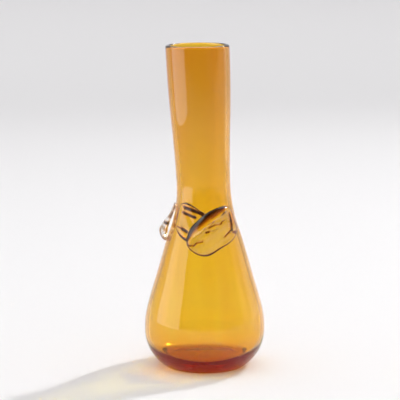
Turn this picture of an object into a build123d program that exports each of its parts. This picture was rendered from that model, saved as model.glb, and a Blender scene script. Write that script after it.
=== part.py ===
from build123d import *
import os
from math import cos, radians, sin, sqrt

# A mouth-blown bud vase: a round belly drawn up into a slender neck that leans a little to one side.
# Three bits of clear glass, put on hot, dress the foot of the neck like a knotted scarf.
# Millimetres, +Z up, origin on the table under the middle of the foot, front of the vase at -Y.

# ---- Driving dimensions of the amber vessel ----
HEIGHT = 240.0
FOOT_RADIUS = 29.5            # outer edge of the ground ring that the vase stands on
FOOT_RING_WIDTH = 6.0
PUNT_RISE = 1.2               # the hollow under the base
BELLY_RADIUS = 44.8
BELLY_LEVEL = 30.0
FOOT_CURVE = 2.5              # powers of the curve from the foot ring up to the belly
FOOT_FULLNESS = 0.91
BELLY_WALL = 3.0
NECK_WALL = 3.2
NECK_WALL_LEVEL = 120.0       # the wall has come to the neck's thickness here
FLOOR_RADIUS = 33.0           # crease round the thick floor inside
FLOOR_LEVEL = 9.0
FLOOR_CROWN = 0.8             # the floor is a little higher in the middle
INNER_CURVE = 3.0             # power of the curve from the floor up into the belly
LIP_ROUNDING = 1.2

# Outside of the vessel above the belly: level, radius, and the radius gained per mm of height.
SHOULDER = (64.0, 37.4, -0.31)
NECK_FOOT = (104.0, 25.4, -0.36)
WAIST = (140.0, 19.95, 0.02)
NECK_MIDDLE = (182.0, 21.8, 0.061)
RIM = (HEIGHT, 23.6, 0.0)
PROFILE = ((BELLY_LEVEL, BELLY_RADIUS, 0.0), SHOULDER, NECK_FOOT, WAIST, NECK_MIDDLE, RIM)

# Lean of the neck towards -X: upright up to LEAN_START, then bending over LEAN_BEND.
LEAN_START = 104.0
LEAN_BEND = 24.0
LEAN_SLOPE = 0.0436
RIM_TILT = 0.6                # degrees, +X side of the rim higher

# ---- Clear glass bits, in front view, as x and z ----
UNDER_BAND_THICKNESS = 3.6
UNDER_BAND_EDGE = 1.2
UNDER_BAND_OUTLINE = (
    (-18.0, 122.5), (-16.0, 125.0), (-12.5, 125.5), (-8.0, 123.5), (-3.5, 120.5), (0.5, 118.0),
    (-1.0, 113.5), (-6.5, 108.0), (-9.5, 101.5), (-12.5, 98.0), (-18.5, 101.5), (-21.0, 106.5),
    (-20.5, 112.5),
)
FRONT_TAB_THICKNESS = 7.2
FRONT_TAB_EDGE = 1.9
FRONT_TAB_OUTLINE = (
    (-13.5, 98.5), (-11.0, 107.0), (-6.0, 113.0), (2.0, 119.5), (10.5, 123.0), (16.5, 123.0),
    (20.0, 118.5), (22.5, 111.5), (24.0, 104.5), (20.5, 98.0), (11.5, 93.0), (3.0, 88.5), (-4.5, 89.0),
    (-11.0, 93.0),
)

# The side lobe is a curl that springs from the neck and swells into a heavy drop at its end:
# x and z of its middle, its half thickness and its half depth along Y.
SIDE_LOBE_STATIONS = (
    (-21.8, 121.8, 1.0, 4.0), (-23.3, 117.5, 1.3, 5.5), (-25.0, 113.7, 1.4, 6.5), (-26.8, 110.5, 2.0, 7.2),
    (-28.4, 107.2, 2.7, 7.6), (-30.2, 103.1, 3.5, 7.6), (-30.7, 99.6, 3.1, 7.0), (-30.2, 96.8, 2.2, 6.0),
    (-29.0, 94.6, 1.2, 4.0),
)
SIDE_LOBE_CENTRE_Y = 3.0

JOIN_LEVEL, JOIN_RADIUS = SHOULDER[:2]        # turned belly below, leaning neck above
NECK_SECTIONS = 24
SLEEVE_BOTTOM = 78.0          # the stretch of neck that the clear bits lie on
SLEEVE_TOP = 136.0
SLEEVE_SECTIONS = 14


def outer_radius(level):
    """Radius of the outside of the vessel at a height."""
    if level <= BELLY_LEVEL:
        swell = 1.0 - (1.0 - level / BELLY_LEVEL) ** FOOT_CURVE
        return FOOT_RADIUS + (BELLY_RADIUS - FOOT_RADIUS) * swell**FOOT_FULLNESS
    for (z0, r0, m0), (z1, r1, m1) in zip(PROFILE, PROFILE[1:]):
        if level <= z1:
            span = z1 - z0
            t = (level - z0) / span
            start = (1.0 + 2.0 * t) * (1.0 - t) ** 2 * r0 + t * (1.0 - t) ** 2 * span * m0
            end = t * t * (3.0 - 2.0 * t) * r1 + t * t * (t - 1.0) * span * m1
            return start + end
    return RIM[1]


def wall(level):
    """Thickness of the wall, changing evenly from the belly to the neck."""
    t = min(max((level - BELLY_LEVEL) / (NECK_WALL_LEVEL - BELLY_LEVEL), 0.0), 1.0)
    return BELLY_WALL + (NECK_WALL - BELLY_WALL) * t


def inner_radius(level):
    """Radius of the inside of the vessel at a height above its floor."""
    if level < BELLY_LEVEL:
        t = (level - FLOOR_LEVEL) / (BELLY_LEVEL - FLOOR_LEVEL)
        swell = 1.0 - (1.0 - t) ** INNER_CURVE
        return FLOOR_RADIUS + (BELLY_RADIUS - BELLY_WALL - FLOOR_RADIUS) * swell
    return outer_radius(level) - wall(level)


def lean(level):
    """How far the middle of the neck has moved along X at a height."""
    t = level - LEAN_START
    if t <= 0.0:
        return 0.0
    if t < LEAN_BEND:
        return -LEAN_SLOPE * t * t / (2.0 * LEAN_BEND)
    return -LEAN_SLOPE * (t - LEAN_BEND / 2.0)


def section(level, radius):
    """A round section of the leaning neck, tilting as it nears the rim."""
    tilt = radians(RIM_TILT) * max(level - NECK_MIDDLE[0], 0.0) / (HEIGHT - NECK_MIDDLE[0])
    middle = (lean(level), 0, level)
    plane = Plane(origin=middle, x_dir=(cos(tilt), 0, sin(tilt)), z_dir=(-sin(tilt), 0, cos(tilt)))
    return plane * Circle(radius)


def levels(low, high, count):
    """Evenly spaced heights, both ends included."""
    return [low + (high - low) * i / (count - 1) for i in range(count)]


def leaning_solid(radius_at, low, high, count):
    """A solid skinned over round sections of the leaning neck."""
    return loft([section(level, radius_at(level)) for level in levels(low, high, count)])


def profile_points(radius_at, low, high, count):
    """Points of an outline in the XZ plane, closer together near the bottom, where it turns fastest."""
    return [(radius_at(z), z) for z in (low + (high - low) * (i / (count - 1)) ** 2 for i in range(count))]


def belly_outside():
    """The turned lower part of the vessel, solid, with the hollow under its base."""
    skin = Spline(*profile_points(outer_radius, 0.0, JOIN_LEVEL, 11))
    ring_inside = FOOT_RADIUS - FOOT_RING_WIDTH
    punt_radius = (ring_inside**2 + PUNT_RISE**2) / (2.0 * PUNT_RISE)
    half_way = PUNT_RISE - punt_radius + sqrt(punt_radius**2 - (ring_inside / 2.0) ** 2)
    outline = skin + Line((JOIN_RADIUS, JOIN_LEVEL), (0, JOIN_LEVEL)) + Line((0, JOIN_LEVEL), (0, PUNT_RISE))
    outline += ThreePointArc((0, PUNT_RISE), (ring_inside / 2.0, half_way), (ring_inside, 0))
    outline += Line((ring_inside, 0), (FOOT_RADIUS, 0))
    return revolve(Plane.XZ * make_face(outline), axis=Axis.Z)


def belly_inside():
    """The turned lower part of the cavity, down to its slightly crowned floor."""
    skin = Spline(*profile_points(inner_radius, FLOOR_LEVEL, JOIN_LEVEL, 11))
    inside_join = JOIN_RADIUS - wall(JOIN_LEVEL)
    crown = FLOOR_LEVEL + FLOOR_CROWN
    outline = skin + Line((inside_join, JOIN_LEVEL), (0, JOIN_LEVEL)) + Line((0, JOIN_LEVEL), (0, crown))
    half_way = (FLOOR_RADIUS / 2.0, crown - FLOOR_CROWN / 4.0)
    outline += ThreePointArc((0, crown), half_way, (FLOOR_RADIUS, FLOOR_LEVEL))
    return revolve(Plane.XZ * make_face(outline), axis=Axis.Z)


def vessel_outside():
    """Everything inside the vessel's outer skin."""
    return belly_outside() + leaning_solid(outer_radius, JOIN_LEVEL, HEIGHT, NECK_SECTIONS)


def vase_body():
    """The blown vessel: thick floor, wall a little thicker at the neck, fire-polished lip."""
    cavity = belly_inside() + leaning_solid(inner_radius, JOIN_LEVEL, HEIGHT, NECK_SECTIONS)
    vessel = vessel_outside() - cavity
    lip_edges = vessel.edges().group_by(Axis.Z)[-1]
    return fillet(lip_edges, LIP_ROUNDING)


def sleeve(stand_off):
    """A solid round the foot of the neck that stands off its skin by an even distance."""
    return leaning_solid(lambda z: outer_radius(z) + stand_off, SLEEVE_BOTTOM, SLEEVE_TOP, SLEEVE_SECTIONS)


def front_slab(outline):
    """A slab with a smooth outline in front view, reaching from the neck's axis to well in front."""
    face = make_face(Spline(*outline, periodic=True))
    return extrude(Plane.XZ * face, BELLY_RADIUS)


def stand_off(point):
    """How far a point is from the skin of the vessel, measured level."""
    return sqrt((point.X - lean(point.Z)) ** 2 + point.Y**2) - outer_radius(point.Z)


def applied_bit(outline, thickness, edge_radius, underneath):
    """A clear bit that lies on what is underneath it, with its outer edge rounded by the heat."""
    bit = front_slab(outline) & sleeve(thickness)
    for solid in underneath:
        bit = bit - solid
    raised = [edge for edge in bit.edges() if stand_off(edge @ 0.5) > 0.9 * thickness]
    return fillet(raised, edge_radius)


def side_lobe(underneath):
    """The curl at the side of the neck, skinned over oval sections square to its middle line."""
    sections = []
    last = len(SIDE_LOBE_STATIONS) - 1
    for i, (x, z, half_thickness, half_depth) in enumerate(SIDE_LOBE_STATIONS):
        before = SIDE_LOBE_STATIONS[max(i - 1, 0)]
        after = SIDE_LOBE_STATIONS[min(i + 1, last)]
        along = (after[0] - before[0], 0, after[1] - before[1])
        plane = Plane(origin=(x, SIDE_LOBE_CENTRE_Y, z), x_dir=(0, 1, 0), z_dir=along)
        sections.append(plane * Ellipse(half_depth, half_thickness))
    lobe = loft(sections)
    for solid in underneath:
        lobe = lobe - solid
    return lobe


def main():
    os.makedirs("parts", exist_ok=True)
    skin = vessel_outside()
    under_band = applied_bit(UNDER_BAND_OUTLINE, UNDER_BAND_THICKNESS, UNDER_BAND_EDGE, [skin])
    front_tab = applied_bit(FRONT_TAB_OUTLINE, FRONT_TAB_THICKNESS, FRONT_TAB_EDGE, [skin, under_band])
    pieces = {
        "vase_body": vase_body(),
        "under_band": under_band,
        "front_tab": front_tab,
        "side_lobe": side_lobe([skin, under_band]),
    }
    for name, piece in pieces.items():
        export_step(piece, f"parts/{name}.step")


main()
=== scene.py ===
from math import cos, exp, hypot, pi, radians, sin, sqrt

import bpy
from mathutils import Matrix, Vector


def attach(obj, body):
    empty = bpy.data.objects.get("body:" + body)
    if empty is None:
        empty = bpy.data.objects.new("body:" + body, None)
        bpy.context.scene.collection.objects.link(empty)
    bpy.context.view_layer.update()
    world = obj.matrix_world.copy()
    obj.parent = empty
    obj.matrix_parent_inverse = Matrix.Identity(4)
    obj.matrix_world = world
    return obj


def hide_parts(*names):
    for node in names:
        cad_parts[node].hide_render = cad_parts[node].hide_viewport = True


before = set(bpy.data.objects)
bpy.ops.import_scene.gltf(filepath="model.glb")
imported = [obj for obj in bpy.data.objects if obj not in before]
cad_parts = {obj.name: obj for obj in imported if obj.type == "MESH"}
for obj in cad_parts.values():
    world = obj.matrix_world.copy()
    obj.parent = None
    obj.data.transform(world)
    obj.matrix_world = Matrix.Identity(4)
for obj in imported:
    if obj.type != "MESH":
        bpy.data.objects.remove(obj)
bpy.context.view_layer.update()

MM = 0.001                    # one millimetre, in metres

# ---- The vessel, the same shape as its CAD node ----
HEIGHT = 240.0
FOOT_RADIUS = 29.5            # outer edge of the ground ring that the vase stands on
FOOT_RING_WIDTH = 6.0
PUNT_RISE = 1.2               # the hollow under the base
BELLY_RADIUS = 44.8
BELLY_LEVEL = 30.0
FOOT_CURVE = 2.5              # powers of the curve from the foot ring up to the belly
FOOT_FULLNESS = 0.91
BELLY_WALL = 3.0
NECK_WALL = 3.2
NECK_WALL_LEVEL = 120.0       # the wall has come to the neck's thickness here
FLOOR_RADIUS = 33.0           # crease round the thick floor inside
FLOOR_LEVEL = 9.0
FLOOR_CROWN = 0.8
INNER_CURVE = 3.0             # power of the curve from the floor up into the belly
# Outside of the vessel above the belly: level, radius, and the radius gained per mm of height.
SHOULDER = (64.0, 37.4, -0.31)
NECK_FOOT = (104.0, 25.4, -0.36)
WAIST = (140.0, 19.95, 0.02)
NECK_MIDDLE = (182.0, 21.8, 0.061)
RIM = (HEIGHT, 23.6, 0.0)
PROFILE = ((BELLY_LEVEL, BELLY_RADIUS, 0.0), SHOULDER, NECK_FOOT, WAIST, NECK_MIDDLE, RIM)
LEAN_START = 104.0            # the neck is upright up to here
LEAN_BEND = 24.0              # and comes to its full slope over this height
LEAN_SLOPE = 0.0436
RIM_TILT = radians(0.6)

# ---- Clear glass bits, in front view ----
# A rim is a closed list of x, z, the width of the rounded edge there and of the painted shade along it.
UNDER_BAND_THICKNESS = 3.5
# The painted shade is a dark strip that stands in for the dark room seen by refraction in the glass edge.
UNDER_BAND_RIM = (
    (-18.0, 122.5, 4.0, 0.3), (-16.0, 125.0, 4.5, 0.1), (-12.5, 125.5, 5.5, 0.1), (-8.0, 123.5, 5.5, 0.1),
    (-3.5, 120.5, 4.5, 0.1), (0.5, 118.0, 3.0, 0.1), (-1.0, 113.5, 3.5, 0.1), (-6.5, 108.0, 4.0, 0.1),
    (-9.5, 101.5, 3.5, 0.1), (-12.5, 98.0, 3.5, 2.0), (-18.5, 101.5, 5.0, 1.6), (-21.0, 106.5, 4.5, 0.4),
    (-20.5, 112.5, 4.0, 0.3),
)
FRONT_TAB_THICKNESS = 7.0
FRONT_TAB_RIM = (
    (-13.5, 98.5, 4.0, 1.2), (-11.0, 107.0, 7.5, 3.4), (-6.0, 113.0, 8.8, 4.9), (2.0, 119.5, 8.8, 4.9),
    (10.5, 123.0, 7.5, 3.0), (16.5, 123.0, 4.5, 0.4), (20.0, 118.5, 3.5, 0.4), (22.5, 111.5, 4.0, 0.9),
    (24.0, 104.5, 4.0, 0.7), (20.5, 98.0, 2.6, 0.6), (11.5, 93.0, 2.4, 0.9), (3.0, 88.5, 2.4, 1.3),
    (-4.5, 89.0, 2.6, 1.1), (-11.0, 93.0, 2.8, 1.1),
)
# Soft ridges and furrows along short lines: from, to, half width, height, and how dark the painted shade is
# along them.
FRONT_TAB_MARKS = (
    ((17.5, 118.5), (18.5, 112.0), 0.8, -0.9, 0.4),
    ((18.5, 112.0), (19.0, 105.5), 0.8, -0.9, 0.3),
    ((18.5, 105.0), (14.5, 101.5), 0.7, -0.8, 0.65),
    ((21.0, 116.0), (21.5, 104.0), 1.0, 0.6, 0.0),
    ((23.0, 102.5), (20.5, 104.0), 0.6, -0.4, 0.9),
    ((-11.0, 96.0), (-8.0, 96.0), 0.6, -0.7, 0.9),
    ((-8.0, 96.0), (-6.0, 98.0), 0.6, -0.7, 0.8),
    ((-6.0, 98.0), (-1.5, 99.0), 0.6, -0.7, 0.6),
    ((1.0, 105.5), (3.0, 106.0), 0.8, -0.9, 0.9),
    ((3.0, 109.0), (7.0, 110.5), 0.6, -0.8, 0.8),
    ((7.0, 110.5), (11.5, 111.0), 0.6, -0.7, 0.5),
    ((11.5, 111.0), (13.0, 113.0), 0.6, -0.7, 0.65),
    ((6.0, 107.5), (9.0, 109.0), 0.9, 1.1, 0.0),
    ((9.0, 113.0), (12.0, 113.5), 0.7, 0.9, 0.0),
    ((5.0, 115.5), (14.5, 121.5), 0.7, -0.3, 0.6),
    ((-11.5, 100.0), (-3.0, 106.0), 0.6, 0.9, 0.0),
    ((-3.0, 106.0), (16.5, 120.0), 0.6, 0.9, 0.0),
)
UNDER_BAND_MARKS = (
    ((-14.0, 122.0), (-6.0, 119.5), 1.2, -0.5, 1.0),
    ((-6.0, 119.5), (-1.5, 117.5), 1.0, -0.5, 1.0),
    ((-14.5, 118.0), (-7.0, 115.5), 1.1, -0.6, 1.0),
    ((-19.0, 107.5), (-16.0, 106.5), 0.7, -0.6, 0.7),
    ((-16.0, 106.5), (-13.0, 105.0), 1.2, -0.6, 1.0),
)
# The side lobe's lines have no height: they carry only painted shade, dark strokes for the dark room seen by
# refraction.
SIDE_LOBE_MARKS = (
    ((-29.5, 108.5), (-25.0, 106.5), 1.5, 0.0, 1.0),
    ((-24.0, 116.0), (-25.5, 112.5), 1.2, 0.0, 0.9),
    ((-22.5, 120.0), (-23.0, 118.5), 1.2, 0.0, 0.9),
    ((-33.5, 104.0), (-33.5, 98.5), 1.4, 0.0, 0.6),
    ((-33.0, 98.0), (-30.0, 95.0), 1.4, 0.0, 0.7),
    ((-31.5, 105.0), (-28.5, 102.5), 1.3, 0.0, 0.5),
)
# The side lobe: x and z of its middle line, its half thickness and its half depth along Y.
SIDE_LOBE_STATIONS = (
    (-21.8, 121.8, 1.0, 4.0), (-23.3, 117.5, 1.3, 5.5), (-25.0, 113.7, 1.4, 6.5), (-26.8, 110.5, 2.0, 7.2),
    (-28.4, 107.2, 2.7, 7.6), (-30.2, 103.1, 3.5, 7.6), (-30.7, 99.6, 3.1, 7.0), (-30.2, 96.8, 2.2, 6.0),
    (-29.0, 94.6, 1.2, 4.0),
)
SIDE_LOBE_CENTRE_Y = 3.0
# Soft flutes along the lobe: their share of its size, their number, and their twist from ring to ring.
LOBE_WAVE = 0.05
LOBE_FLUTES = 3.0
LOBE_TWIST = 0.09
PAINTED_SHADE_FADE = (-1.0, 3.0)       # the painted shade fades out between these places along Y
PAINTED_SHADE_SHARPNESS = 4            # power that makes the ends of a strip of painted shade abrupt
UNDERCUT = 1.5                # the back of an edge turns under this many times sooner than its front
WELD = 0.08                   # how far the clear glass is melted into what it lies on
LEAST_THICKNESS = 0.02        # of the tab, where it crosses the band
BAND_EDGE_REACH = 0.95        # how much of a quarter round each rounded edge is
TAB_EDGE_REACH = 0.8
EDGE_BLEND = 0.3              # smooths the width of the edge from one rim point to the next
EDGE_BLEND_POWER = 4          # how fast a rim point's say in that width drops with distance
# Ripples in the faces: height, and the change of phase per mm along x and along z.
BAND_RIPPLES = ((0.25, 0.9, 0.4),)
TAB_RIPPLES = ((0.12, 0.55, -0.8), (0.1, 1.1, 0.35))
BAND_SINK = 0.25              # how much the rippled faces are lowered, to stay inside the CAD
TAB_SINK = 0.2
TAB_MARK_RISE = 1.3           # the tab's marks reach full height this many times sooner than its edge
# The tab thins down and to the right: that way as x and z, where along it the thinning starts,
# over what length it goes on, how much it takes away in all, and how it is spread.
TAB_FALL = (0.62, -0.785)
TAB_FALL_START = -83.5
TAB_FALL_LENGTH = 16.0
TAB_THINNING = 4.4
TAB_THINNING_POWER = 0.8

# ---- How finely the meshes are divided ----
ROUND_STEPS = 192             # points round the vessel
BASE_RINGS = 22               # rings of the hollow under the base
FOOT_RINGS = 6
BELLY_RINGS = 44              # outside, from the foot up to the widest level
WALL_RINGS = 150              # from there up to the lip, outside and inside
CAVITY_RINGS = 40             # inside, from the widest level down to the floor's crease
FLOOR_RINGS = 30
LIP_STEPS = 12
FIRST_LEVEL = 0.05            # the outside starts this far above the corner of the foot ring
TIP_RADIUS = 0.6              # the innermost ring of the base and of the floor
CROWDING = 1.7                # power that brings rings together where the shape turns fastest
RIM_STEPS = 240               # points round a laid bit
RIM_RINGS = 56                # rings from its rim to its middle
PAINTED_SHADE_RIM_STEPS = 120          # points round a rim where the painted shade is worked out
LOBE_AROUND = 96
LOBE_ALONG = 150
COVE_STEPS = 96
COVE_BEND_STEPS = 16

# ---- Camera and light ----
CAMERA_PLACE = (-0.003464, -1.4056, 0.35143)      # fitted to the outline in the photograph
CAMERA_PITCH = radians(9.1607)
CAMERA_LENS = 172.65          # in millimetres, for a sensor of the width below
SENSOR_WIDTH = 36.0
VIEW_END = 50.0
COVE_FLOOR = (0.4, 1.5, 3.0, 5.0)      # radii of the rings of the flat floor
COVE_BEND = 1.5               # radius of the curve from the floor up into the wall
COVE_TOP = 3.5
PAPER_COLOUR = (0.9, 0.89, 0.9, 1.0)
# Painted shade: grey paper on the camera's side stands in for the unlit front of the studio.
PAPER_FRONT_SHADE = (0.3, 0.296, 0.3, 1.0)
PAPER_SHADE_FADE = (-0.3, -1.5)     # painted shade: the paper turns grey between these places along Y, in metres
PAPER_DROP = 0.05             # in millimetres, so that the paper isn't in the plane of the foot
# Strength of the room's light, then the powers of the lamps in watts and the key's spread in degrees.
ROOM_STRENGTH = 0.9
KEY_POWER = 12.2
KEY_SPREAD = 50.0
BACKDROP_POWER = 7.0
LEFT_POWER = 5.0
RIGHT_POWER = 0.7
FRONT_POWER = 1.6
TOP_POWER = 130.0

# ---- Colour of the amber glass: a tint for each wall that light crosses, as (level, colour) ----
AMBER_TINTS = (
    (0.0, (0.97, 0.82, 0.1)),
    (40.0, (1.0, 0.945, 0.24)),
    (110.0, (0.985, 0.885, 0.14)),
    (150.0, (0.955, 0.84, 0.1)),
    (200.0, (0.955, 0.78, 0.09)),
    (235.0, (0.95, 0.735, 0.07)),
)
# ---- Painted shade in the clear bits, dark strips for the dark room seen by refraction: (how dark, colour) ----
PAINTED_SHADE_TINTS = (
    (0.0, (1.0, 1.0, 1.0)),
    (0.3, (0.85, 0.52, 0.26)),
    (0.6, (0.3, 0.1, 0.03)),
    (1.0, (0.008, 0.005, 0.006)),
)
# ---- The rest of the glass ----
AMBER_DEPTH = (0.86, 0.33, 0.05)       # colour of the amber glass in its bulk
AMBER_DENSITY = 110.0         # how fast that colour deepens, per metre
GLASS_IOR = 1.5
PLAIN = (1.0, 1.0, 1.0)
AMBER_STREAK = (0.98, 0.92, 0.85)
CLEAR_STREAK = (0.98, 0.97, 0.96)
# How fine the noise is along X, Y and Z, and how deep the waves that it makes are, in millimetres.
AMBER_STREAKS = (70.0, 70.0, 4.0)
AMBER_WAVES = (60.0, 60.0, 15.0)
AMBER_WAVE_DEPTH = 0.15
CLEAR_WAVES = (90.0, 90.0, 90.0)
CLEAR_WAVE_DEPTH = 0.3
NOISE_RANGE = (0.3, 0.7)      # the part of the noise's range that the streaks use


# ================= Shape of the vessel =================
def outer_radius(level):
    """Radius of the outside of the vessel at a height."""
    if level <= BELLY_LEVEL:
        swell = 1.0 - (1.0 - max(level, 0.0) / BELLY_LEVEL) ** FOOT_CURVE
        return FOOT_RADIUS + (BELLY_RADIUS - FOOT_RADIUS) * swell**FOOT_FULLNESS
    for (z0, r0, m0), (z1, r1, m1) in zip(PROFILE, PROFILE[1:]):
        if level <= z1:
            span = z1 - z0
            t = (level - z0) / span
            start = (1.0 + 2.0 * t) * (1.0 - t) ** 2 * r0 + t * (1.0 - t) ** 2 * span * m0
            end = t * t * (3.0 - 2.0 * t) * r1 + t * t * (t - 1.0) * span * m1
            return start + end
    return RIM[1]


def wall(level):
    """Thickness of the wall, changing evenly from the belly to the neck."""
    t = min(max((level - BELLY_LEVEL) / (NECK_WALL_LEVEL - BELLY_LEVEL), 0.0), 1.0)
    return BELLY_WALL + (NECK_WALL - BELLY_WALL) * t


def inner_radius(level):
    """Radius of the inside of the vessel at a height above its floor."""
    if level < BELLY_LEVEL:
        t = (level - FLOOR_LEVEL) / (BELLY_LEVEL - FLOOR_LEVEL)
        swell = 1.0 - (1.0 - max(t, 0.0)) ** INNER_CURVE
        return FLOOR_RADIUS + (BELLY_RADIUS - BELLY_WALL - FLOOR_RADIUS) * swell
    return outer_radius(level) - wall(level)


def lean(level):
    """How far the middle of the neck has moved along X at a height."""
    t = level - LEAN_START
    if t <= 0.0:
        return 0.0
    if t < LEAN_BEND:
        return -LEAN_SLOPE * t * t / (2.0 * LEAN_BEND)
    return -LEAN_SLOPE * (t - LEAN_BEND / 2.0)


def tilt(level):
    """How far a round section is tipped, rising to the rim's own tilt."""
    return RIM_TILT * min(max((level - NECK_MIDDLE[0]) / (HEIGHT - NECK_MIDDLE[0]), 0.0), 1.0)


def spaced(low, high, count, power=1.0):
    """Numbers from low to high, closer together near low where power is over 1."""
    return [low + (high - low) * (i / (count - 1)) ** power for i in range(count)]


def base_outline():
    """The underside, from the middle of the hollow out to the foot ring's outer corner."""
    ring_inside = FOOT_RADIUS - FOOT_RING_WIDTH
    punt_radius = (ring_inside**2 + PUNT_RISE**2) / (2.0 * PUNT_RISE)
    points = []
    for r in spaced(TIP_RADIUS, ring_inside, BASE_RINGS):
        points.append((r, PUNT_RISE - punt_radius + sqrt(punt_radius**2 - r * r)))
    for r in spaced(ring_inside, FOOT_RADIUS, FOOT_RINGS)[1:]:
        points.append((r, 0.0))
    return points


def outside_outline():
    """The outside, from just above the foot ring to just under the lip."""
    lip = NECK_WALL / 2.0
    levels = spaced(FIRST_LEVEL, BELLY_LEVEL, BELLY_RINGS, CROWDING)
    levels += spaced(BELLY_LEVEL, HEIGHT - lip, WALL_RINGS)[1:]
    return [(outer_radius(z), z) for z in levels]


def lip_outline():
    """The fire-polished lip, a half round from the outside to the inside."""
    lip = NECK_WALL / 2.0
    middle = outer_radius(HEIGHT) - lip
    angles = spaced(0.0, pi, LIP_STEPS)[1:-1]
    return [(middle + lip * cos(a), HEIGHT - lip + lip * sin(a)) for a in angles]


def inside_outline():
    """The inside, from just under the lip down to the crease round the floor, then across the floor."""
    lip = NECK_WALL / 2.0
    levels = spaced(HEIGHT - lip, BELLY_LEVEL, WALL_RINGS)
    levels += spaced(FLOOR_LEVEL, BELLY_LEVEL, CAVITY_RINGS, CROWDING)[-2::-1]
    points = [(inner_radius(z), z) for z in levels]
    for r in spaced(FLOOR_RADIUS, TIP_RADIUS, FLOOR_RINGS)[1:]:
        points.append((r, FLOOR_LEVEL + FLOOR_CROWN * (1.0 - (r / FLOOR_RADIUS) ** 2)))
    return points


def vessel_point(radius, level, angle):
    """A point of the leaning vessel, in metres."""
    tip = tilt(level)
    out = radius * cos(angle)
    x = lean(level) + out * cos(tip)
    y = radius * sin(angle)
    z = level + out * sin(tip)
    return (x * MM, y * MM, z * MM)


def turned_mesh(name, outline, bottom_level, top_level):
    """A closed mesh round the vessel's axis, closed by a point at each end of its outline."""
    verts = []
    faces = []
    for radius, level in outline:
        for i in range(ROUND_STEPS):
            verts.append(vessel_point(radius, level, 2.0 * pi * i / ROUND_STEPS))
    for row in range(len(outline) - 1):
        for i in range(ROUND_STEPS):
            j = (i + 1) % ROUND_STEPS
            a = row * ROUND_STEPS
            b = a + ROUND_STEPS
            faces.append((a + i, a + j, b + j, b + i))
    first = len(verts)
    verts.append((0.0, 0.0, bottom_level * MM))
    verts.append((0.0, 0.0, top_level * MM))
    last_row = (len(outline) - 1) * ROUND_STEPS
    for i in range(ROUND_STEPS):
        j = (i + 1) % ROUND_STEPS
        faces.append((j, i, first))
        faces.append((last_row + i, last_row + j, first + 1))
    return new_object(name, verts, faces)


def new_object(name, verts, faces):
    """A smooth-shaded mesh object at the origin."""
    mesh = bpy.data.meshes.new(name)
    mesh.from_pydata(verts, [], faces)
    mesh.validate()
    mesh.shade_smooth()
    piece = bpy.data.objects.new(name, mesh)
    bpy.context.scene.collection.objects.link(piece)
    return piece


# ================= Shape of the clear bits =================
def curve_through(points, count, closed):
    """Points spaced along a smooth curve (Catmull-Rom) through the given points."""
    number = len(points)
    spans = number if closed else number - 1
    out = []
    for k in range(count):
        place = k * spans / (count if closed else count - 1)
        i = min(int(place), spans - 1)
        t = place - i
        if closed:
            picked = [points[(i + step) % number] for step in (-1, 0, 1, 2)]
        else:
            picked = [points[min(max(i + step, 0), number - 1)] for step in (-1, 0, 1, 2)]
        out.append(tuple(
            0.5 * (2.0 * b + (c - a) * t + (2.0 * a - 5.0 * b + 4.0 * c - d) * t * t
                   + (3.0 * b - a - 3.0 * c + d) * t**3)
            for a, b, c, d in zip(*picked)))
    return out


def line_distance(x, z, start, end):
    """Distance in the front view from a point to a short straight line."""
    dx, dz = end[0] - start[0], end[1] - start[1]
    t = ((x - start[0]) * dx + (z - start[1]) * dz) / (dx * dx + dz * dz)
    t = min(max(t, 0.0), 1.0)
    return hypot(x - start[0] - t * dx, z - start[1] - t * dz)


def edge_share(x, z, rim):
    """How far a point is in from the rim: 0 at the rim, 1 where the rounded edge has ended."""
    nearest = 1.0e9
    weight_sum = 0.0
    width_sum = 0.0
    for i, (px, pz, width, _) in enumerate(rim):
        nearest = min(nearest, line_distance(x, z, (px, pz), rim[i - 1][:2]))
        weight = 1.0 / (hypot(x - px, z - pz) + EDGE_BLEND) ** EDGE_BLEND_POWER
        weight_sum += weight
        width_sum += weight * width
    return min(nearest / (width_sum / weight_sum), 1.0)


def rounded(share, reach):
    """Height of a rounded edge. A reach under 1 leaves a soft crease where the edge meets the face."""
    top = sqrt(1.0 - (1.0 - reach) ** 2)
    return sqrt(max(1.0 - (1.0 - reach * share) ** 2, 0.0)) / top


def marks_height(x, z, marks):
    """Ridges and furrows added up at a point."""
    total = 0.0
    for start, end, width, height, _ in marks:
        total += height * exp(-(line_distance(x, z, start, end) / width) ** 2)
    return total


def ripples(x, z, waves):
    """Soft ripples added up at a point."""
    return sum(height * sin(a * x + b * z) for height, a, b in waves)


def band_surfaces(x, z, rim):
    """Front and back heights of the under band, whose edges are round all the way under."""
    share = edge_share(x, z, rim)
    middle = UNDER_BAND_THICKNESS / 2.0
    marks = (marks_height(x, z, UNDER_BAND_MARKS) + ripples(x, z, BAND_RIPPLES) - BAND_SINK) * share
    front = middle + middle * rounded(share, BAND_EDGE_REACH) + marks
    back = middle - (middle + WELD) * rounded(min(share * UNDERCUT, 1.0), 1.0)
    return front, back


def tab_surfaces(x, z, rim):
    """Front and back heights of the front tab: a thick shoulder up and left, thin down and right."""
    along = TAB_FALL[0] * x + TAB_FALL[1] * z - TAB_FALL_START
    fallen = min(max(along / TAB_FALL_LENGTH, 0.0), 1.0)
    thickness = FRONT_TAB_THICKNESS - TAB_THINNING * fallen**TAB_THINNING_POWER
    share = edge_share(x, z, rim)
    middle = thickness / 2.0
    marks = marks_height(x, z, FRONT_TAB_MARKS) + ripples(x, z, TAB_RIPPLES) - TAB_SINK
    marks *= min(share * TAB_MARK_RISE, 1.0)
    front = middle + (thickness - middle) * rounded(share, TAB_EDGE_REACH) + marks
    back = middle - (middle + WELD) * rounded(min(share * UNDERCUT, 1.0), 1.0)
    if inside_rim(x, z, BAND_CURVE):
        back = max(back, band_surfaces(x, z, BAND_CURVE)[0] - WELD)
    return max(front, back + LEAST_THICKNESS), min(back, front - LEAST_THICKNESS)


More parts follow.
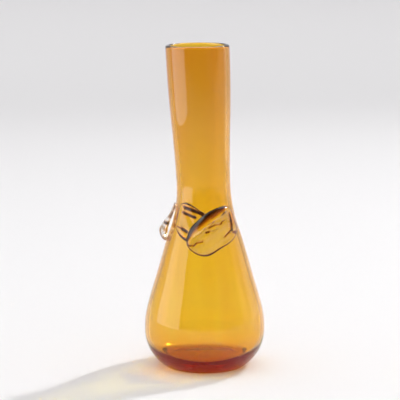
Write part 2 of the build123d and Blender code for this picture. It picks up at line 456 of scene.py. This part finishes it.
def darkness(x, z, rim, marks):
    """How much painted shade a point in the front view gets, from 0 to 1."""
    most = 0.0
    for i, (px, pz, _, width) in enumerate(rim):
        share = line_distance(x, z, (px, pz), rim[i - 1][:2]) / width
        most = max(most, exp(-share**PAINTED_SHADE_SHARPNESS))
    for start, end, width, _, depth in marks:
        share = line_distance(x, z, start, end) / width
        most = max(most, depth * exp(-share**PAINTED_SHADE_SHARPNESS))
    return most


def mark_painted_shade(piece, rim_points, marks):
    """Store each vertex's painted shade, for the material to use. It fades out towards the back."""
    rim = curve_through(rim_points, PAINTED_SHADE_RIM_STEPS, True) if rim_points else ()
    layer = piece.data.attributes.new("painted_shade", "FLOAT", "POINT")
    fade_start, fade_end = PAINTED_SHADE_FADE
    for vertex, value in zip(piece.data.vertices, layer.data):
        x, y, z = vertex.co / MM
        share = min(max((fade_end - y) / (fade_end - fade_start), 0.0), 1.0)
        value.value = share * darkness(x, z, rim, marks)


def inside_rim(x, z, rim):
    """Whether a point in the front view is inside a closed rim."""
    inside = False
    for i, (px, pz, _, _) in enumerate(rim):
        qx, qz = rim[i - 1][:2]
        if (pz > z) != (qz > z) and x < (qx - px) * (z - pz) / (qz - pz) + px:
            inside = not inside
    return inside


def on_vessel(x, z, height):
    """The point seen at x, z in the front view, a height off the vessel's skin, in metres."""
    reach = (outer_radius(z) + height) ** 2 - (x - lean(z)) ** 2
    return (x * MM, -sqrt(max(reach, 0.0)) * MM, z * MM)


def laid_bit(name, rim_points, surfaces):
    """A bit of glass laid on the front of the vessel, from its rim and its front and back heights."""
    around, rings = RIM_STEPS, RIM_RINGS
    rim = curve_through(rim_points, around, True)
    middle_x = sum(p[0] for p in rim) / around
    middle_z = sum(p[1] for p in rim) / around
    scales = [1.0 - (k / rings) ** CROWDING for k in range(rings)]
    sides = ([], [])
    for scale in scales:
        for px, pz, _, _ in rim:
            x = middle_x + (px - middle_x) * scale
            z = middle_z + (pz - middle_z) * scale
            for side, height in zip(sides, surfaces(x, z, rim)):
                side.append(on_vessel(x, z, height))
    for side, height in zip(sides, surfaces(middle_x, middle_z, rim)):
        side.append(on_vessel(middle_x, middle_z, height))
    front, back = sides
    # The rim's points belong to the front and the back, so the back's own points start one ring in.
    verts = front + back[around:]
    count = len(front)
    faces = []
    for k in range(rings):
        for i in range(around):
            j = (i + 1) % around
            a, b = k * around, (k + 1) * around
            if k < rings - 1:
                faces.append((a + i, b + i, b + j, a + j))
            else:
                faces.append((a + i, b, a + j))
            if k > 0:
                a += count - around
            b += count - around
            if k < rings - 1:
                faces.append((a + j, b + j, b + i, a + i))
            else:
                faces.append((a + j, b, a + i))
    return new_object(name, verts, faces)


BAND_CURVE = curve_through(UNDER_BAND_RIM, RIM_STEPS, True)      # the tab rests on the band inside it


def side_lobe_mesh(name):
    """The curl at the side of the neck, an oval tube along its middle line that swells into a drop."""
    around, along = LOBE_AROUND, LOBE_ALONG
    line = curve_through(SIDE_LOBE_STATIONS, along, False)
    verts = []
    for k, (x, z, half_thickness, half_depth) in enumerate(line):
        bx, bz = line[max(k - 1, 0)][:2]
        cx, cz = line[min(k + 1, along - 1)][:2]
        length = hypot(cx - bx, cz - bz)
        nx, nz = (cz - bz) / length, -(cx - bx) / length
        for i in range(around):
            a = 2.0 * pi * i / around
            wave = 1.0 + LOBE_WAVE * sin(LOBE_FLUTES * a + LOBE_TWIST * k) - LOBE_WAVE
            out = half_thickness * wave * cos(a)
            side = half_depth * wave * sin(a)
            verts.append(((x + nx * out) * MM, (SIDE_LOBE_CENTRE_Y + side) * MM, (z + nz * out) * MM))
    faces = []
    for k in range(along - 1):
        for i in range(around):
            j = (i + 1) % around
            a, b = k * around, (k + 1) * around
            faces.append((a + i, a + j, b + j, b + i))
    for first, turn in ((0, True), ((along - 1) * around, False)):
        verts.append(tuple(sum(verts[first + i][axis] for i in range(around)) / around for axis in range(3)))
        tip = len(verts) - 1
        for i in range(around):
            face = (first + i, first + (i + 1) % around, tip)
            faces.append(face[::-1] if turn else face)
    return new_object(name, verts, faces)


# ================= Materials =================
def new_material(name):
    """An empty node material with its output."""
    material = bpy.data.materials.new(name)
    material.use_nodes = True
    nodes = material.node_tree.nodes
    nodes.clear()
    output = nodes.new("ShaderNodeOutputMaterial")
    return material, nodes, material.node_tree.links, output


def colour_ramp(nodes, stops):
    """A colour ramp with the given (position, colour) stops."""
    ramp = nodes.new("ShaderNodeValToRGB")
    while len(ramp.color_ramp.elements) < len(stops):
        ramp.color_ramp.elements.new(0.5)
    for element, (position, colour) in zip(ramp.color_ramp.elements, stops):
        element.position = position
        element.color = (*colour, 1.0)
    return ramp


def height_ramp(nodes, links, place, stops):
    """A colour that changes with height, from (level in mm, colour) stops."""
    split = nodes.new("ShaderNodeSeparateXYZ")
    share = nodes.new("ShaderNodeMath")
    share.operation = "MULTIPLY"
    share.inputs[1].default_value = 1.0 / (HEIGHT * MM)
    ramp = colour_ramp(nodes, [(level / HEIGHT, colour) for level, colour in stops])
    links.new(place.outputs["Object"], split.inputs["Vector"])
    links.new(split.outputs["Z"], share.inputs[0])
    links.new(share.outputs["Value"], ramp.inputs["Fac"])
    return ramp.outputs["Color"]


def stretched_noise(nodes, links, place, scale):
    """Soft noise drawn out along chosen axes."""
    stretch = nodes.new("ShaderNodeMapping")
    stretch.inputs["Scale"].default_value = scale
    noise = nodes.new("ShaderNodeTexNoise")
    noise.inputs["Scale"].default_value = 1.0
    noise.inputs["Detail"].default_value = 1.0
    links.new(place.outputs["Object"], stretch.inputs["Vector"])
    links.new(stretch.outputs["Vector"], noise.inputs["Vector"])
    return noise.outputs["Fac"]


def streaked(nodes, links, colour, noise, thin, deep):
    """A colour with lighter and deeper streaks drawn into it."""
    spread = nodes.new("ShaderNodeMapRange")
    spread.inputs["From Min"].default_value = NOISE_RANGE[0]
    spread.inputs["From Max"].default_value = NOISE_RANGE[1]
    streak = nodes.new("ShaderNodeMix")
    streak.data_type = "RGBA"
    streak.inputs["A"].default_value = (*thin, 1.0)
    streak.inputs["B"].default_value = (*deep, 1.0)
    both = nodes.new("ShaderNodeMix")
    both.data_type = "RGBA"
    both.blend_type = "MULTIPLY"
    both.inputs["Factor"].default_value = 1.0
    links.new(noise, spread.inputs["Value"])
    links.new(spread.outputs["Result"], streak.inputs["Factor"])
    links.new(colour, both.inputs["A"])
    links.new(streak.outputs["Result"], both.inputs["B"])
    return both.outputs["Result"]


def waved(nodes, links, height, depth):
    """A surface normal rippled by a height pattern, up to a depth in millimetres."""
    bump = nodes.new("ShaderNodeBump")
    bump.inputs["Strength"].default_value = 1.0
    bump.inputs["Distance"].default_value = depth * MM
    links.new(height, bump.inputs["Height"])
    return bump.outputs["Normal"]


def glass_shader(nodes):
    """A smooth clear glass surface."""
    shader = nodes.new("ShaderNodeBsdfPrincipled")
    shader.inputs["Roughness"].default_value = 0.0
    shader.inputs["IOR"].default_value = GLASS_IOR
    shader.inputs["Transmission Weight"].default_value = 1.0
    return shader


def amber_material():
    """Amber glass, deepest towards the rim, with faint upright streaks."""
    material, nodes, links, output = new_material("amber_glass")
    shader = glass_shader(nodes)
    place = nodes.new("ShaderNodeTexCoord")
    colour = height_ramp(nodes, links, place, AMBER_TINTS)
    streaks = stretched_noise(nodes, links, place, AMBER_STREAKS)
    colour = streaked(nodes, links, colour, streaks, PLAIN, AMBER_STREAK)
    links.new(colour, shader.inputs["Base Color"])
    waves = stretched_noise(nodes, links, place, AMBER_WAVES)
    links.new(waved(nodes, links, waves, AMBER_WAVE_DEPTH), shader.inputs["Normal"])
    volume = nodes.new("ShaderNodeVolumeAbsorption")
    volume.inputs["Color"].default_value = (*AMBER_DEPTH, 1.0)
    volume.inputs["Density"].default_value = AMBER_DENSITY
    links.new(shader.outputs["BSDF"], output.inputs["Surface"])
    links.new(volume.outputs["Volume"], output.inputs["Volume"])
    return material


def clear_material():
    """Clear glass with the soft waves of hot-worked glass, and painted shade where the vertices say so."""
    material, nodes, links, output = new_material("clear_glass")
    shader = glass_shader(nodes)
    place = nodes.new("ShaderNodeTexCoord")
    waves = stretched_noise(nodes, links, place, CLEAR_WAVES)
    # Painted shade: this attribute darkens the glass's tint where the dark room would be seen by refraction.
    drawn = nodes.new("ShaderNodeAttribute")
    drawn.attribute_name = "painted_shade"
    dark = colour_ramp(nodes, PAINTED_SHADE_TINTS)
    colour = streaked(nodes, links, dark.outputs["Color"], waves, PLAIN, CLEAR_STREAK)
    links.new(drawn.outputs["Fac"], dark.inputs["Fac"])
    links.new(colour, shader.inputs["Base Color"])
    links.new(waved(nodes, links, waves, CLEAR_WAVE_DEPTH), shader.inputs["Normal"])
    links.new(shader.outputs["BSDF"], output.inputs["Surface"])
    return material


# ================= Studio =================
def paper_material():
    """White paper with painted shade: it fades to grey on the camera's side, for the unlit front of the
    studio.
    """
    material, nodes, links, output = new_material("paper")
    shader = nodes.new("ShaderNodeBsdfDiffuse")
    place = nodes.new("ShaderNodeTexCoord")
    split = nodes.new("ShaderNodeSeparateXYZ")
    fade = nodes.new("ShaderNodeMapRange")
    fade.interpolation_type = "SMOOTHSTEP"
    fade.inputs["From Min"].default_value = PAPER_SHADE_FADE[0]
    fade.inputs["From Max"].default_value = PAPER_SHADE_FADE[1]
    mix = nodes.new("ShaderNodeMix")
    mix.data_type = "RGBA"
    mix.inputs["A"].default_value = PAPER_COLOUR
    mix.inputs["B"].default_value = PAPER_FRONT_SHADE
    links.new(place.outputs["Object"], split.inputs["Vector"])
    links.new(split.outputs["Y"], fade.inputs["Value"])
    links.new(fade.outputs["Result"], mix.inputs["Factor"])
    links.new(mix.outputs["Result"], shader.inputs["Color"])
    links.new(shader.outputs["BSDF"], output.inputs["Surface"])
    return material


def cove():
    """A round paper cove: a flat floor that curves up into a wall far away on every side."""
    steps = COVE_STEPS
    flat = COVE_FLOOR[-1]
    line = [(radius, 0.0) for radius in COVE_FLOOR]
    for i in range(1, COVE_BEND_STEPS + 1):
        a = pi / 2.0 * i / COVE_BEND_STEPS
        line.append((flat + COVE_BEND * sin(a), COVE_BEND - COVE_BEND * cos(a)))
    line.append((flat + COVE_BEND, COVE_TOP))
    verts = []
    faces = [tuple(range(steps))]
    for out, z in line:
        for i in range(steps):
            a = 2.0 * pi * i / steps
            verts.append((out * cos(a), out * sin(a), z))
    for row in range(len(line) - 1):
        for i in range(steps):
            j = (i + 1) % steps
            faces.append((row * steps + j, row * steps + i, (row + 1) * steps + i, (row + 1) * steps + j))
    paper = new_object("paper_cove", verts, faces)
    paper.data.materials.append(paper_material())
    paper.location = (0.0, 0.0, -PAPER_DROP * MM)
    paper.cycles.is_caustics_receiver = True


def area_light(name, place, aim, size, power):
    """A flat white light of a size in metres and a power in watts, turned towards a point."""
    light = bpy.data.lights.new(name, "AREA")
    light.shape = "RECTANGLE"
    light.size, light.size_y = size
    light.energy = power
    lamp = bpy.data.objects.new(name, light)
    lamp.location = place
    direction = Vector(aim) - Vector(place)
    lamp.rotation_euler = direction.to_track_quat("-Z", "Y").to_euler()
    bpy.context.scene.collection.objects.link(lamp)
    return lamp


def world_light():
    """Even white light from all round, which isn't mirrored in the glass."""
    world = bpy.data.worlds.new("room")
    world.use_nodes = True
    background = world.node_tree.nodes["Background"]
    background.inputs["Color"].default_value = (1.0, 1.0, 1.0, 1.0)
    background.inputs["Strength"].default_value = ROOM_STRENGTH
    bpy.context.scene.world = world
    world.cycles_visibility.glossy = False


def studio():
    """Paper cove, room light, a key light behind on the right, a backdrop light, and four cards.

    The cards are seen only in reflections.
    """
    cove()
    world_light()
    key = area_light("key", place=(3.0, 3.0, 3.2), aim=(-0.3, -1.0, 0.0), size=(0.4, 0.4), power=KEY_POWER)
    key.data.cycles.is_caustics_light = True
    key.data.spread = radians(KEY_SPREAD)
    backdrop = area_light("backdrop", place=(0.0, 2.6, 3.3), aim=(0.0, 4.8, 0.6), size=(6.0, 2.5),
                          power=BACKDROP_POWER)
    backdrop.visible_glossy = False
    left = area_light("left_panel", place=(-0.7, -0.17, 0.5), aim=(0.0, 0.0, 0.5), size=(0.76, 1.0),
                      power=LEFT_POWER)
    right = area_light("right_panel", place=(1.0, 0.45, 0.5), aim=(0.0, 0.0, 0.5), size=(0.4, 1.0),
                       power=RIGHT_POWER)
    front = area_light("front_right_panel", place=(1.34, -0.68, 0.6), aim=(0.0, 0.0, 0.5),
                       size=(1.95, 1.5), power=FRONT_POWER)
    top = area_light("top_panel", place=(0.0, 1.3, 2.4), aim=(0.0, 1.3, 0.0), size=(5.0, 3.2),
                     power=TOP_POWER)
    for card in (left, right, front, top):
        card.visible_camera = False
        card.visible_diffuse = False
        card.visible_transmission = False


def camera():
    """The camera, a little above the vase and looking down at it."""
    data = bpy.data.cameras.new("camera")
    data.lens = CAMERA_LENS
    data.sensor_width = SENSOR_WIDTH
    data.clip_end = VIEW_END
    eye = bpy.data.objects.new("camera", data)
    eye.location = CAMERA_PLACE
    eye.rotation_euler = (pi / 2.0 - CAMERA_PITCH, 0.0, 0.0)
    bpy.context.scene.collection.objects.link(eye)
    bpy.context.scene.camera = eye


# ================= Put together =================
camera()
studio()

amber = amber_material()
clear = clear_material()

outline = base_outline() + outside_outline() + lip_outline() + inside_outline()
vessel = turned_mesh("vessel", outline, PUNT_RISE, FLOOR_LEVEL + FLOOR_CROWN)
vessel.data.materials.append(amber)
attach(vessel, "root")
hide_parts("vase_body")
vessel.cycles.is_caustics_caster = True

under_band = laid_bit("laid_under_band", UNDER_BAND_RIM, band_surfaces)
front_tab = laid_bit("laid_front_tab", FRONT_TAB_RIM, tab_surfaces)
side_lobe = side_lobe_mesh("curled_side_lobe")
# Painted shade on the clear bits: dark strips where the dark room would be seen by refraction in their
# edges.
mark_painted_shade(under_band, UNDER_BAND_RIM, UNDER_BAND_MARKS)
mark_painted_shade(front_tab, FRONT_TAB_RIM, FRONT_TAB_MARKS)
mark_painted_shade(side_lobe, (), SIDE_LOBE_MARKS)
for bit, node in ((under_band, "under_band"), (front_tab, "front_tab"), (side_lobe, "side_lobe")):
    bit.data.materials.append(clear)
    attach(bit, "root")
    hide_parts(node)

bpy.context.scene.view_settings.view_transform = "Standard"
# Light crosses many surfaces of glass, so it is followed further than usual and isn't clamped.
cycles = bpy.context.scene.cycles
cycles.transmission_bounces = 32
cycles.glossy_bounces = 32
cycles.max_bounces = 48
cycles.sample_clamp_indirect = 0.0
cycles.blur_glossy = 0.2
